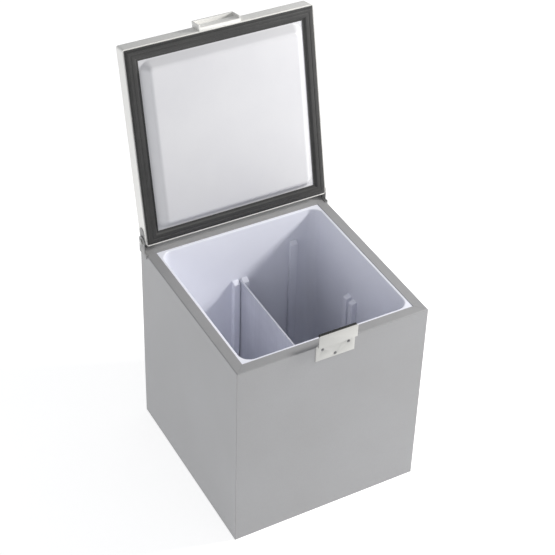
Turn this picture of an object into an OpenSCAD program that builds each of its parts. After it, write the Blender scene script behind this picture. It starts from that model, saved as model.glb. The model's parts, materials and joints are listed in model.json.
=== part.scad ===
// Cube-shaped chest freezer with a lift-up lid, a hasp latch and a lift-out divider.
// The origin is the middle of the footprint on the floor: +X is right, +Y is back, +Z is up.
// The lid is drawn open, as it stands at rest, and closes by turning about its hinge pins.

/* [Cabinet] */
// Width over the side panels
cab_w = 490; // [440:1:640]
// Depth over the front and rear panels
cab_d = 500; // [440:1:640]
// Height of the steel rim above the floor
cab_h = 525; // [440:1:700]
// Thickness of the outer steel sheet
sheet_t = 1.2; // [0.8:0.1:2]
// Radius of the fold between a panel and its rim
fold_r = 2.4; // [1.6:0.1:4]
// Width of the folded rim at the front and the sides
rim_w = 25; // [20:1:34]
// Width of the folded rim at the rear
rim_rear_w = 33; // [24:1:42]
// Height of the base pan's upturned edge
pan_edge_h = 24; // [12:1:40]
// Radius of the rubber pads under the base
foot_r = 17; // [12:1:24]

/* [Liner] */
// Width of the white lip inside the steel rim
lip_w = 7; // [5:0.5:12]
// Thickness of the liner
liner_t = 2.5; // [1.5:0.1:4]
// Radius of the liner's upright corners
liner_r = 28; // [16:1:40]
// Height of the liner's floor above the ground
floor_z = 80; // [66:1:100]
// Foam between the machine bay and the liner
step_foam = 24; // [18:1:34]

/* [Divider] */
// Thickness of the lift-out divider
divider_t = 5; // [3:0.5:8]
// Play on each side of the divider in its slot
divider_play = 1.5; // [0.5:0.1:2.5]
// Depth of the divider's top edge below the rim
divider_drop = 152; // [140:1:220]
// Width of one guide rail
rail_w = 17; // [10:1:22]
// How far a guide rail stands out of the wall
rail_out = 14; // [8:1:20]
// Depth of the guide rails' tops below the rim
rail_drop = 148; // [120:1:150]
// Place of the side walls' guide rails, front to back
side_rail_y = 20; // [12:1:40]

/* [Machine bay] */
// Inside width of the bay
bay_w = 188; // [160:1:215]
// Inside depth of the bay, front to back
bay_d = 196; // [175:1:215]
// Inside height of the bay
bay_h = 186; // [165:1:220]
// Radius of the compressor's shell
compressor_r = 54; // [40:1:60]
// Height of the compressor's shell
compressor_h = 112; // [90:1:124]
// Margin between the bay's walls and its service cover
cover_margin = 14; // [10:1:24]

/* [Lid] */
// Distance of the lid's sides inside the cabinet's
lid_side_gap = 2; // [1.8:0.1:4]
// Thickness of the lid
lid_t = 40; // [32:1:52]
// Height of the closed lid's underside above the rim
lid_gap = 6.5; // [5:0.1:9]
// Distance of the hinge pins in front of the rear face
hinge_in = 11; // [8:1:16]
// Length of lid behind the hinge pins
lid_tail = 6; // [3:0.5:8]
// Distance of the lid's front edge behind the cabinet's front face
lid_setback = 5; // [3:0.5:8]
// Angle to which the lid opens
lid_open = 102; // [90:1:110]
// Distance of the gasket from the lid's edge
gasket_in = 3; // [1.5:0.5:6]
// Width of the gasket
gasket_w = 30; // [20:1:34]
// Height of the raised inner panel
plug_h = 20; // [10:1:26]
// How far the raised panel's sides slope in
plug_slope = 17; // [8:1:24]

/* [Latch] */
// Width of the keeper and the hasp
latch_w = 100; // [80:1:140]
// Height of the keeper plate
keeper_h = 43; // [38:1:56]
// Thickness of the keeper plate
keeper_t = 2; // [1.5:0.1:3]
// Thickness of the hasp
hasp_t = 1.5; // [1:0.1:2.5]
// Depth of the rubber strip behind the hasp
strip_d = 8; // [5:0.5:9]
// Radius of the hasp's pin
latch_pin_r = 1.5; // [1.2:0.1:2]

/* [Hinges] */
// Radius of the hinge pins
hinge_pin_r = 4; // [3:0.5:5]
// Thickness of the hinge brackets
bracket_t = 2.5; // [2:0.1:3.5]
// Radius of the bracket's round head
bracket_head_r = 15; // [12:0.5:17]

/* [Hidden] */
$fn = 48;

// a cut runs this far past the faces that it opens
over = 1;
// clearance of a screw or pipe in its hole
hole_gap = 0.2;
// radial clearance of a pin that turns in its bore
run_gap = 0.05;
// clearance between pieces that are set beside each other
set_gap = 0.3;
// how far a screw's tip stands out behind the sheet that it holds
screw_tip = 2.5;

// --- cabinet, worked out ---
half_w = cab_w / 2;
half_d = cab_d / 2;
seam = 0.2;
// space inside the panels that the base pan's edge takes
shell_gap = 3;
in_x = half_w - sheet_t - shell_gap;
in_y = half_d - sheet_t - shell_gap;
pan_gap = 0.4;
rim_z = cab_h - sheet_t;

// --- liner, worked out ---
cav_x = half_w - rim_w - lip_w;
cav_y0 = -half_d + rim_w + lip_w;
cav_y1 = half_d - rim_rear_w - lip_w;
cav_d = cav_y1 - cav_y0;
cav_mid = (cav_y0 + cav_y1) / 2;
// how far the liner's flange reaches under the steel rim
lip_hold = 10;
bay_x0 = in_x - bay_w;
bay_y0 = -in_y;
bay_y1 = bay_y0 + bay_d;
bay_z1 = sheet_t + bay_h;
bay_t = 1;
step_x = bay_x0 - bay_t - step_foam - liner_t;
step_y = bay_y1 + bay_t + step_foam + liner_t;
step_z = bay_z1 + bay_t + step_foam + liner_t;
slot_w = divider_t + 2 * divider_play;
rail_top = cab_h - rail_drop;
divider_top = cab_h - divider_drop;

// --- coils inside the foam ---
evap_t = 6;
evap_h = 9;
evap_pitch = 48;
cond_t = 5;
coil_rise = 9;
evap_low = floor_z + 24;
evap_turns = floor((rim_z - 34 - evap_low) / evap_pitch) + 1;
cond_low = bay_z1 + 44;
cond_pitch = 48;
// depth below the rim that the coil leaves free for the brackets' screws
cond_clear = 84;
cond_turns = floor((cab_h - cond_clear - cond_low) / cond_pitch) + 1;

// --- lid, worked out in its closed place ---
lid_z = cab_h + lid_gap;
hinge_y = half_d - hinge_in;
hinge_z = lid_z + lid_t / 2;
lid_y1 = hinge_y + lid_tail;
lid_y0 = -half_d + lid_setback;
lid_w = cab_w - 2 * lid_side_gap;
lid_l = lid_y1 - lid_y0;
lid_mid = (lid_y0 + lid_y1) / 2;
lid_sheet = 1;
lid_r = 6;
gasket_h = lid_gap - 0.5;
panel_t = 2;
plug_in = gasket_in + gasket_w + 3;
plug_w = lid_w - 2 * plug_in;
plug_l = lid_l - 2 * plug_in;
plug_r = 26;

// --- latch, worked out ---
keeper_top = cab_h + 2;
keeper_front = -half_d - keeper_t;
knuckle_r = latch_pin_r + 2;
pin_y = keeper_front - knuckle_r - 0.5;
pin_z = keeper_top + 2;
hasp_back = pin_y - knuckle_r - 2;
hasp_top = cab_h + lid_t;
hasp_low = pin_z + 2;
hasp_half = latch_w / 2 - 0.5;
strip_h = 7;
catch_out = lid_y0 - hasp_back - 2;
catch_rib = lid_y0 - (hasp_back + strip_d) - 0.5;
catch_rib_h = hasp_top - strip_h - 1.5 - lid_z;
cheek_t = 2;
catch_back_t = 3;
catch_well = 1.4;
catch_screw_r = 1.5;
keeper_holes = [[-latch_w / 3, keeper_top - 13], [0, keeper_top - keeper_h + 8],
  [latch_w / 3, keeper_top - 13]];

// --- hinges, worked out ---
lid_half = lid_w / 2;
bracket_x = half_w;
// the strap fills the gap beside the lid but for a running clearance
arm_t = lid_side_gap - 0.6;
bush_wall = 2;
bush_r = hinge_pin_r + bush_wall;

// --- machine bay contents ---
bay_mid_x = bay_x0 + bay_w / 2;
bay_mid_y = bay_y0 + bay_d / 2;
grommet_h = 9;
plate_t = 2;
plate_z = sheet_t + grommet_h;
shell_z = plate_z + plate_t + 3;
foot_x = compressor_r + 10;
foot_y = compressor_r - 14;
cover_y0 = bay_y0 + cover_margin;
cover_y1 = bay_y1 - cover_margin;
cover_z0 = sheet_t + cover_margin + 14;
cover_z1 = bay_z1 - cover_margin;
cover_t = 2.5;
control_h = 38;
control_deep = 14;
control_z = cover_z1 - control_h / 2 - 4;
knob_y = cover_y0 + 34;
lamp_y = knob_y + 34;
gland_y = cover_y1 - 24;
cover_x = half_w;
cover_screw_r = 1.75;
// underside of the weld belt round the compressor's shell
belt_z = shell_z + compressor_h / 2;
belt_h = 5;

// ---------- shared shapes ----------

// rectangle about the origin with round corners
module rounded_rect(w, d, r) {
  square([w - 2 * r, d], center = true);
  square([w, d - 2 * r], center = true);
  for (sx = [-1, 1], sy = [-1, 1])
    translate([sx * (w / 2 - r), sy * (d / 2 - r)])
      circle(r);
}

// box given by its lowest and highest corners
module span(low, high) {
  translate(low)
    cube(high - low);
}

module both_sides() {
  children();
  mirror([1, 0, 0])
    children();
}

// turns what is drawn closed to the open rest pose
module opened() {
  translate([0, hinge_y, hinge_z])
    rotate([-lid_open, 0, 0])
      translate([0, -hinge_y, -hinge_z])
        children();
}

// cylinder along +X from one x to another
module bar_x(x0, x1, r) {
  translate([x0, 0, 0])
    rotate([0, 90, 0])
      cylinder(h = x1 - x0, r = r);
}

// round pipe through a list of points
module pipe(points, r) {
  for (i = [0 : len(points) - 2]) {
    run = points[i + 1] - points[i];
    length = norm(run);
    turn = atan2(run[1], run[0]);
    lean = acos(run[2] / length);
    translate(points[i])
      rotate([0, lean, turn])
        cylinder(h = length, r = r);
    if (i > 0)
      translate(points[i])
        sphere(r);
  }
}

// screw along +Z with a domed head above z = 0
module screw(r, length) {
  translate([0, 0, -length])
    cylinder(h = length + 0.2, r = r);
  difference() {
    intersection() {
      cylinder(h = 1.6, r = 2 * r);
      translate([0, 0, 1.6 - 3.2 * r])
        sphere(3.2 * r);
    }
    for (turn = [0, 90])
      rotate([0, 0, turn])
        translate([-r, -0.4, 0.9])
          cube([2 * r, 0.8, 2]);
  }
}

// ---------- cabinet shell ----------

// section of a panel: an upright sheet with its top folded in by rim
module panel_section(rim) {
  difference() {
    square([rim, cab_h]);
    translate([sheet_t, -over])
      square([rim, cab_h - sheet_t + over]);
    translate([-over, cab_h - fold_r])
      difference() {
        square([fold_r + over, fold_r + over]);
        translate([fold_r + over, 0])
          circle(fold_r);
      }
  }
}

// panel across the front, mitred at both ends
module cross_panel(rim) {
  intersection() {
    translate([-half_w, -half_d, 0])
      rotate([90, 0, 90])
        linear_extrude(cab_w)
          panel_section(rim);
    linear_extrude(cab_h)
      polygon([[-half_w + seam, -half_d], [half_w - seam, -half_d],
        [half_w - rim_w - seam, -half_d + rim], [-half_w + rim_w + seam, -half_d + rim]]);
  }
}

// panel along the left side, mitred to the front and rear rims
module side_panel() {
  intersection() {
    translate([-half_w, half_d, 0])
      rotate([90, 0, 0])
        linear_extrude(cab_d)
          panel_section(rim_w);
    linear_extrude(cab_h)
      polygon([[-half_w, -half_d + seam], [-half_w + rim_w, -half_d + rim_w + seam],
        [-half_w + rim_w, half_d - rim_rear_w - seam], [-half_w, half_d - seam]]);
  }
}

module front_panel() {
  color("silver")
    difference() {
      cross_panel(rim_w);
      for (hole = keeper_holes)
        translate([hole[0], -half_d - over, hole[1]])
          rotate([-90, 0, 0])
            cylinder(h = sheet_t + 2 * over, r = 2 + hole_gap);
    }
}

module left_panel() {
  color("silver")
    side_panel();
}

module right_panel() {
  color("silver")
    difference() {
      mirror([1, 0, 0])
        side_panel();
      span([half_w - sheet_t - over, cover_y0, cover_z0], [half_w + over, cover_y1, cover_z1]);
      cover_screw_places()
        cylinder(h = 4 * sheet_t, r = cover_screw_r + hole_gap, center = true);
    }
}

module rear_panel() {
  color("silver")
    difference() {
      mirror([0, 1, 0])
        cross_panel(rim_rear_w);
      bracket_screw_places()
        cylinder(h = 4 * sheet_t, r = 2 + hole_gap, center = true);
    }
}

module foot_places() {
  inset = foot_r + 12;
  for (sx = [-1, 1], sy = [-1, 1])
    translate([sx * (half_w - inset), sy * (half_d - inset), 0])
      children();
}

module compressor_feet() {
  for (sx = [-1, 1], sy = [-1, 1])
    translate([bay_mid_x + sx * foot_x, bay_mid_y + sy * foot_y, 0])
      children();
}

module base_pan() {
  edge_x = half_w - sheet_t - pan_gap;
  edge_y = half_d - sheet_t - pan_gap;
  color("lightsteelblue")
    difference() {
      span([-edge_x, -edge_y, 0], [edge_x, edge_y, pan_edge_h]);
      span([-edge_x + sheet_t, -edge_y + sheet_t, sheet_t],
        [edge_x - sheet_t, edge_y - sheet_t, pan_edge_h + over]);
      foot_places()
        translate([0, 0, -over])
          cylinder(h = 4, r = foot_r - 3);
      compressor_feet()
        translate([0, 0, -over])
          cylinder(h = 4, r = 3 + hole_gap);
      // air slots under the machine bay
      for (i = [-2 : 2])
        translate([bay_mid_x + 14 * i - 3, bay_mid_y - 26, -over])
          cube([6, 52, 4]);
    }
}

// rubber pads set into the base pan, flush with its underside
module feet() {
  color("dimgray")
    foot_places() {
      cylinder(h = sheet_t, r = foot_r - 3 - hole_gap);
      translate([0, 0, sheet_t])
        cylinder(h = 4, r = foot_r);
    }
}

// ---------- liner and insulation ----------

// the liner's hollow grown by g on every side
module tub(g) {
  difference() {
    translate([0, cav_mid, floor_z - g])
      linear_extrude(rim_z - floor_z + g)
        rounded_rect(2 * (cav_x + g), cav_d + 2 * g, liner_r + g);
    span([step_x + g, -half_d, 0], [half_w, step_y - g, step_z - g]);
  }
}

// flange that holds the liner under the steel rim
module liner_flange() {
  translate([0, cav_mid, rim_z - liner_t])
    linear_extrude(liner_t)
      rounded_rect(2 * (cav_x + lip_w + lip_hold), cav_d + 2 * (lip_w + lip_hold), liner_r);
}

// two upright rails with a slot between them, standing out of a wall towards -Y
module rail_pair() {
  root = liner_t / 2;
  slope = 0.8 * rail_out;
  for (side = [-1, 1])
    translate([side * (slot_w + rail_w) / 2 - rail_w / 2, 0, 0])
      rotate([90, 0, 90])
        linear_extrude(rail_w)
          polygon([[root, floor_z - root], [root, rail_top], [0, rail_top],
            [-rail_out, rail_top - slope], [-rail_out, floor_z - root]]);
}

module liner() {
  color("white")
    difference() {
      union() {
        tub(liner_t);
        liner_flange();
      }
      difference() {
        tub(0);
        translate([0, cav_y1, 0])
          rail_pair();
        translate([0, cav_y0, 0])
          rotate([0, 0, 180])
            rail_pair();
        translate([cav_x, side_rail_y, 0])
          rotate([0, 0, -90])
            rail_pair();
        translate([-cav_x, side_rail_y, 0])
          rotate([0, 0, 90])
            rail_pair();
      }
      // open the mouth through the flange
      translate([0, cav_mid, rim_z - liner_t - over])
        linear_extrude(liner_t + 2 * over)
          rounded_rect(2 * cav_x, cav_d, liner_r);
    }
}

// one flat loop round the liner
module evap_loop(z) {
  difference() {
    intersection() {
      tub(liner_t + evap_t);
      span([-half_w, -half_d, z], [half_w, half_d, z + evap_h]);
    }
    tub(liner_t);
  }
}

module evaporator_coil() {
  color("gainsboro") {
    for (i = [0 : evap_turns - 1])
      evap_loop(evap_low + i * evap_pitch);
    // risers on the rear wall join each loop to the next
    for (i = [0 : evap_turns - 2])
      translate([(i % 2 == 0 ? 1 : -1) * cav_x / 2, cav_y1 + liner_t, evap_low + i * evap_pitch])
        cube([coil_rise, evap_t, evap_pitch + evap_h]);
  }
}

module condenser_coil() {
  reach_x = in_x + shell_gap - set_gap;
  reach_y = in_y + shell_gap - set_gap;
  color("dimgray") {
    for (i = [0 : cond_turns - 1])
      translate([0, 0, cond_low + i * cond_pitch])
        linear_extrude(cond_t)
          difference() {
            square([2 * reach_x, 2 * reach_y], center = true);
            square([2 * (reach_x - cond_t), 2 * (reach_y - cond_t)], center = true);
          }
    for (i = [0 : cond_turns - 2])
      translate([(i % 2 == 0 ? 1 : -1) * cav_x / 2, reach_y - cond_t, cond_low + i * cond_pitch])
        cube([cond_t, cond_t, cond_pitch + cond_t]);
  }
}

// the bay's outer block, run past the foam's side by extra
module bay_outside(extra) {
  span([bay_x0 - bay_t, bay_y0 - extra, sheet_t],
    [in_x + extra, bay_y1 + bay_t, bay_z1 + bay_t]);
}

module cabinet_foam() {
  color("khaki")
    difference() {
      span([-in_x, -in_y, sheet_t], [in_x, in_y, rim_z]);
      tub(liner_t);
      liner_flange();
      evaporator_coil();
      condenser_coil();
      bay_outside(over);
      foot_places()
        cylinder(h = sheet_t + 4, r = foot_r);
    }
}

// ---------- temperature probe ----------

probe_x = 0.7 * cav_x;
probe_w = 20;
probe_out = 9;
probe_top = cab_h - 84;
probe_low = floor_z + 40;

module probe_cover() {
  wall = 1.6;
  color("white")
    translate([probe_x, cav_y1, 0])
      difference() {
        translate([-probe_w / 2, 0, 0])
          rotate([90, 0, 90])
            linear_extrude(probe_w)
              polygon([[0, probe_low], [0, probe_top], [-probe_out, probe_top - probe_out],
                [-probe_out, probe_low]]);
        translate([-probe_w / 2 + wall, -probe_out + wall, probe_low - over])
          cube([probe_w - 2 * wall, probe_out, probe_top - probe_out - probe_low]);
      }
}

module sensor_bulb() {
  color("peru")
    translate([probe_x, cav_y1 - 3.2, probe_low + 30])
      cylinder(h = 90, r = 3);
}

// ---------- machine bay ----------

module machine_bay() {
  color("lightgray")
    difference() {
      bay_outside(0);
      span([bay_x0, bay_y0 + bay_t, 0], [half_w, bay_y1, bay_z1]);
    }
}

// the straight part of the compressor's shell
module compressor_core() {
  translate([bay_mid_x, bay_mid_y, shell_z])
    cylinder(h = compressor_h - compressor_r / 2, r = compressor_r);
}

module compressor() {
  dome = compressor_r / 2;
  color("#222222") {
    translate([bay_mid_x, bay_mid_y, shell_z])
      rotate_extrude()
        polygon(concat([[0, 0], [compressor_r - 12, 0]],
          [for (a = [-60 : 15 : 0]) [compressor_r - 12 + 12 * cos(a), 12 + 12 * sin(a)]],
          [for (a = [0 : 10 : 90])
            [compressor_r * cos(a), compressor_h - dome + dome * sin(a)]]));
    // weld belt
    translate([bay_mid_x, bay_mid_y, belt_z])
      cylinder(h = belt_h, r = compressor_r + 2.5);
    // mounting plate
    difference() {
      union() {
        span([bay_mid_x - foot_x - 14, bay_mid_y - foot_y - 12, plate_z],
          [bay_mid_x + foot_x + 14, bay_mid_y + foot_y + 12, plate_z + plate_t]);
        translate([bay_mid_x, bay_mid_y, plate_z])
          cylinder(h = shell_z - plate_z + 1, r = compressor_r - 16);
      }
      compressor_feet()
        translate([0, 0, plate_z - over])
          cylinder(h = plate_t + 2 * over, r = 3 + hole_gap);
    }
    // process tube, pinched off
    pipe([[bay_mid_x - 12, bay_mid_y + compressor_r - 6, belt_z - 24],
      [bay_mid_x - 12, bay_mid_y + compressor_r + 16, belt_z - 24]], 3.2);
  }
}

module compressor_grommets() {
  color("#303030")
    compressor_feet()
      difference() {
        translate([0, 0, sheet_t])
          cylinder(h = grommet_h, r = 10);
        cylinder(h = 40, r = 3 + hole_gap);
      }
}

module compressor_bolts() {
  color("silver")
    compressor_feet() {
      cylinder(h = plate_z + plate_t + 6, r = 3);
      translate([0, 0, plate_z + plate_t])
        cylinder(h = 4.5, r = 5.5, $fn = 6);
    }
}

module start_module() {
  near = bay_mid_x + compressor_r;
  color("#3a3a3a")
    difference() {
      span([near - 12, bay_mid_y - 24, shell_z + 12], [near + 24, bay_mid_y + 24, shell_z + 62]);
      translate([bay_mid_x, bay_mid_y, shell_z])
        cylinder(h = compressor_h, r = compressor_r + 2.8);
    }
}

drier_x = bay_x0 + 20;
drier_y = bay_y1 - 16;
drier_z = sheet_t + 60;
drier_l = 76;
drier_r = 9;
pipe_r = 3;

// drying capsule between two tubes that come out of the bay's left wall
module filter_drier() {
  neck = 8;
  bend = 14;
  color("#b87333") {
    translate([drier_x, drier_y, drier_z])
      rotate_extrude()
        polygon([[0, 0], [pipe_r, 0], [drier_r, neck], [drier_r, drier_l - neck], [pipe_r, drier_l],
          [0, drier_l]]);
    pipe([[drier_x, drier_y, drier_z + drier_l - 1], [drier_x, drier_y, drier_z + drier_l + bend],
      [bay_x0, drier_y, drier_z + drier_l + bend]], pipe_r);
    pipe([[drier_x, drier_y, drier_z + 1], [drier_x, drier_y, drier_z - bend],
      [bay_x0, drier_y, drier_z - bend]], pipe_r);
  }
}

// from the compressor's shell to the bay's left wall, where it goes to the condenser
module discharge_pipe() {
  out_x = bay_mid_x - 20;
  out_y = bay_y0 + 22;
  low_z = belt_z + belt_h + 2 * pipe_r;
  top_z = shell_z + compressor_h + 14;
  color("#b87333")
    difference() {
      pipe([[out_x, bay_mid_y - compressor_r + 14, low_z], [out_x, out_y, low_z],
        [out_x, out_y, top_z], [bay_x0, out_y, top_z]], pipe_r);
      compressor_core();
    }
}

// from the bay's rear wall, where it comes out of the foam, to the compressor's shell
module suction_pipe() {
  low_z = belt_z + belt_h + 2 * pipe_r;
  color("#b87333")
    difference() {
      pipe([[bay_mid_x + 26, bay_mid_y + 10, low_z],
        [bay_mid_x + 26, bay_y1 - 14, low_z],
        [bay_mid_x + 26, bay_y1 - 14, bay_z1 - 22],
        [bay_mid_x - 20, bay_y1 - 14, bay_z1 - 22],
        [bay_mid_x - 20, bay_y1, bay_z1 - 22]], pipe_r);
      compressor_core();
    }
}

module cover_screw_places() {
  for (y = [cover_y0 - 5, cover_y1 + 5], z = [cover_z0 + 12, cover_z1 - 12])
    translate([cover_x, y, z])
      rotate([0, 90, 0])
        children();
}

// louvred cover with a sunk control panel above the slots
module service_cover() {
  frame_w = 9;
  louvre_z0 = cover_z0 + 8;
  louvre_z1 = control_z - control_h / 2 - 6;
  pitch = 9;
  count = floor((louvre_z1 - louvre_z0) / pitch);
  color("#4a4d52")
    difference() {
      union() {
        span([cover_x, cover_y0 - frame_w, cover_z0 - frame_w],
          [cover_x + cover_t, cover_y1 + frame_w, cover_z1 + frame_w]);
        // the part that fills the panel's opening
        span([cover_x - 4, cover_y0 + set_gap, cover_z0 + set_gap],
          [cover_x, cover_y1 - set_gap, cover_z1 - set_gap]);
        // the pocket for the controls
        span([cover_x - control_deep - cover_t, cover_y0 + 6, control_z - control_h / 2 - cover_t],
          [cover_x, cover_y1 - 6, control_z + control_h / 2 + 2]);
      }
      span([cover_x - control_deep, cover_y0 + 6 + cover_t, control_z - control_h / 2],
        [cover_x + 20, cover_y1 - 6 - cover_t, control_z + control_h / 2]);
      for (i = [0 : count - 1])
        translate([cover_x - 20, cover_y0 + 14, louvre_z0 + i * pitch])
          cube([40, cover_y1 - cover_y0 - 28, 4.5]);
      cover_screw_places()
        cylinder(h = 12, r = cover_screw_r + hole_gap, center = true);
      // knob shaft, lamp and cord gland
      translate([cover_x - control_deep, knob_y, control_z])
        rotate([0, 90, 0])
          cylinder(h = 20, r = 3.3, center = true);
      translate([cover_x - control_deep, lamp_y, control_z])
        rotate([0, 90, 0])
          cylinder(h = 20, r = 4, center = true);
      translate([cover_x - control_deep, gland_y, control_z])
        rotate([0, 90, 0])
          cylinder(h = 20, r = 6, center = true);
    }
}

module cover_screws() {
  color("gray")
    cover_screw_places()
      translate([0, 0, cover_t])
        screw(cover_screw_r, cover_t + sheet_t + screw_tip);
}

// thermostat body behind the control panel
module thermostat() {
  back = cover_x - control_deep - cover_t;
  color("#dddddd") {
    span([back - 20, knob_y - 20, control_z - 14], [back, knob_y + 20, control_z + 14]);
    translate([0, knob_y, control_z])
      bar_x(back - 1, cover_x - control_deep + 1.5, 3.1);
  }
}

module thermostat_knob() {
  base_x = cover_x - control_deep + 0.5;
  color("#e8e8e8")
    translate([0, knob_y, control_z])
      difference() {
        union() {
          bar_x(base_x, base_x + 3, 14);
          intersection() {
            bar_x(base_x, base_x + 11, 13);
            span([base_x, -4, -14], [base_x + 11, 4, 14]);
          }
        }
        bar_x(base_x - over, base_x + 1.5, 3.1 + run_gap);
        // pointer line on the grip
        span([base_x + 10, -0.6, 4], [base_x + 12, 0.6, 14]);
      }
}

module pilot_lamp() {
  color("limegreen")
    translate([0, lamp_y, control_z]) {
      bar_x(cover_x - control_deep - cover_t - 6, cover_x - control_deep, 4 - hole_gap);
      bar_x(cover_x - control_deep, cover_x - control_deep + 2.5, 5.5);
    }
}

// blank rubber gland where the mains lead would come out
module cord_gland() {
  color("#222222")
    translate([0, gland_y, control_z]) {
      bar_x(cover_x - control_deep - cover_t, cover_x - control_deep, 6 - hole_gap);
      bar_x(cover_x - control_deep, cover_x - control_deep + 5, 8.5);
      bar_x(cover_x - control_deep - cover_t - 3, cover_x - control_deep - cover_t, 8);
    }
}

// ---------- divider ----------

module divider() {
  end_gap = 3;
  corner = 8;
  low = floor_z + 0.5;
  y0 = cav_y0 + end_gap;
  y1 = cav_y1 - end_gap;
  color("white")
    translate([-divider_t / 2, 0, 0])
      rotate([90, 0, 90])
        linear_extrude(divider_t)
          translate([(y0 + y1) / 2, (low + divider_top) / 2])
            rounded_rect(y1 - y0, divider_top - low, corner);
}

// ---------- hinges ----------

module bracket_screw_places() {
  for (side = [-1, 1], z = [cab_h - 18, cab_h - 36])
    translate([side * (half_w - 20), half_d, z])
      rotate([-90, 0, 0])
        children();
}

// bracket of the right-hand hinge: side plate with a round head, rear leg and rim tab
module hinge_bracket() {
  side_low = cab_h - 8;
  leg_low = cab_h - 44;
  leg_w = 36;
  tab_y = hinge_y - bracket_head_r - 10;
  tab_l = 22;
  rear_y = half_d + bracket_t;
  difference() {
    union() {
      translate([bracket_x, 0, 0])
        rotate([90, 0, 90])
          linear_extrude(bracket_t) {
            translate([hinge_y, hinge_z])
              circle(bracket_head_r);
            translate([hinge_y - bracket_head_r, side_low])
              square([rear_y - hinge_y + bracket_head_r, hinge_z - side_low - 4]);
            translate([tab_y, side_low])
              square([hinge_y - tab_y, 12]);
          }
      // leg down the rear face, set in from the side
      span([bracket_x - leg_w, half_d, leg_low], [bracket_x - 1, rear_y, side_low + 1]);
      span([bracket_x - leg_w, half_d, side_low], [bracket_x + bracket_t, rear_y, cab_h + 14]);
      // tab that rests on the rim beside the gasket
      span([lid_half - gasket_in + 0.8, tab_y, cab_h], [bracket_x, tab_y + tab_l, cab_h + 2]);
    }
    translate([0, hinge_y, hinge_z])
      bar_x(bracket_x - over, bracket_x + bracket_t + over, bush_r);
    bracket_screw_places()
      cylinder(h = 12, r = 2 + hole_gap, center = true);
    // room for the lid to swing between the brackets
    translate([0, hinge_y, hinge_z])
      bar_x(0, bracket_x, norm([lid_tail, lid_t / 2]) + 1);
  }
}

module hinge_bracket_right() {
  color("gray")
    hinge_bracket();
}

module hinge_bracket_left() {
  color("gray")
    mirror([1, 0, 0])
      hinge_bracket();
}

module bracket_screws() {
  color("gray")
    bracket_screw_places()
      translate([0, 0, bracket_t])
        screw(2, bracket_t + sheet_t + screw_tip);
}

// plain bearings pressed into the brackets
module hinge_bushes() {
  color("ivory")
    both_sides()
      translate([0, hinge_y, hinge_z])
        difference() {
          union() {
            bar_x(bracket_x, bracket_x + bracket_t + 0.6, bush_r);
            bar_x(bracket_x + bracket_t, bracket_x + bracket_t + 0.6, bush_r + 1.5);
          }
          bar_x(bracket_x - over, bracket_x + 10, hinge_pin_r + run_gap);
        }
}

// ---------- keeper and hasp ----------

module keeper_screw_places() {
  for (hole = keeper_holes)
    translate([hole[0], keeper_front, hole[1]])
      rotate([90, 0, 0])
        children();
}

module keeper_plate() {
  knuckle_x0 = 19;
  knuckle_x1 = latch_w / 2 - 5;
  color("whitesmoke")
    difference() {
      union() {
        span([-latch_w / 2, keeper_front, keeper_top - keeper_h], [latch_w / 2, -half_d, keeper_top]);
        both_sides() {
          translate([0, pin_y, pin_z])
            bar_x(knuckle_x0, knuckle_x1, knuckle_r);
          span([knuckle_x0, pin_y, keeper_top - 2], [knuckle_x1, -half_d, pin_z + 1]);
        }
      }
      translate([0, pin_y, pin_z])
        bar_x(-latch_w, latch_w, latch_pin_r + run_gap);
      keeper_screw_places()
        cylinder(h = 12, r = 2 + hole_gap, center = true);
    }
}

module keeper_screws() {
  color("gray")
    keeper_screw_places()
      screw(2, keeper_t + sheet_t + screw_tip);
}

module latch_pin() {
  color("gray")
    translate([0, pin_y, pin_z])
      bar_x(-latch_w / 2 + 3, latch_w / 2 - 3, latch_pin_r);
}

module latch_hasp() {
  corner = 3;
  color("whitesmoke")
    difference() {
      union() {
        // face plate with its two upper corners rounded
        translate([0, hasp_back, 0])
          rotate([90, 0, 0])
            linear_extrude(hasp_t) {
              translate([-hasp_half, hasp_low])
                square([2 * hasp_half, hasp_top - hasp_low - corner]);
              translate([-hasp_half + corner, hasp_low])
                square([2 * (hasp_half - corner), hasp_top - hasp_low]);
              for (side = [-1, 1])
                translate([side * (hasp_half - corner), hasp_top - corner])
                  circle(corner);
            }
        translate([0, pin_y, pin_z])
          bar_x(-18, 18, knuckle_r);
        span([-18, hasp_back - 0.5, pin_z - 1], [18, pin_y, pin_z + knuckle_r]);
      }
      translate([0, pin_y, pin_z])
        bar_x(-20, 20, latch_pin_r + run_gap);
    }
}

module hasp_strip() {
  color("#1c1c1c")
    span([-hasp_half + 2, hasp_back, hasp_top - strip_h], [hasp_half - 2, hasp_back + strip_d, hasp_top]);
}

// ---------- lid ----------

module lid_outline(inset) {
  translate([0, lid_mid])
    rounded_rect(lid_w - 2 * inset, lid_l - 2 * inset, max(lid_r - inset, 1));
}

module lid_slab(inset, z0, z1) {
  translate([0, 0, z0])
    linear_extrude(z1 - z0)
      lid_outline(inset);
}

module pin_holes() {
  translate([0, hinge_y, hinge_z])
    both_sides()
      bar_x(lid_half - 22, lid_half + 20, hinge_pin_r + hole_gap);
}

// the screws' heads sit in wells, clear of the hasp's strip
module catch_screw_places() {
  for (side = [-1, 1])
    translate([side * latch_w * 0.36, lid_y0 - catch_back_t + catch_well, lid_z + catch_rib_h + 5])
      rotate([90, 0, 0])
        children();
}

module lid_outer_pan() {
  color("whitesmoke")
    opened()
      difference() {
        lid_slab(0, lid_z, lid_z + lid_t);
        lid_slab(lid_sheet, lid_z + lid_sheet, lid_z + lid_t - lid_sheet);
        lid_slab(gasket_in, lid_z - over, lid_z + 2 * lid_sheet);
        pin_holes();
        catch_screw_places()
          cylinder(h = 20, r = catch_screw_r + hole_gap, center = true);
      }
}

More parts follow.
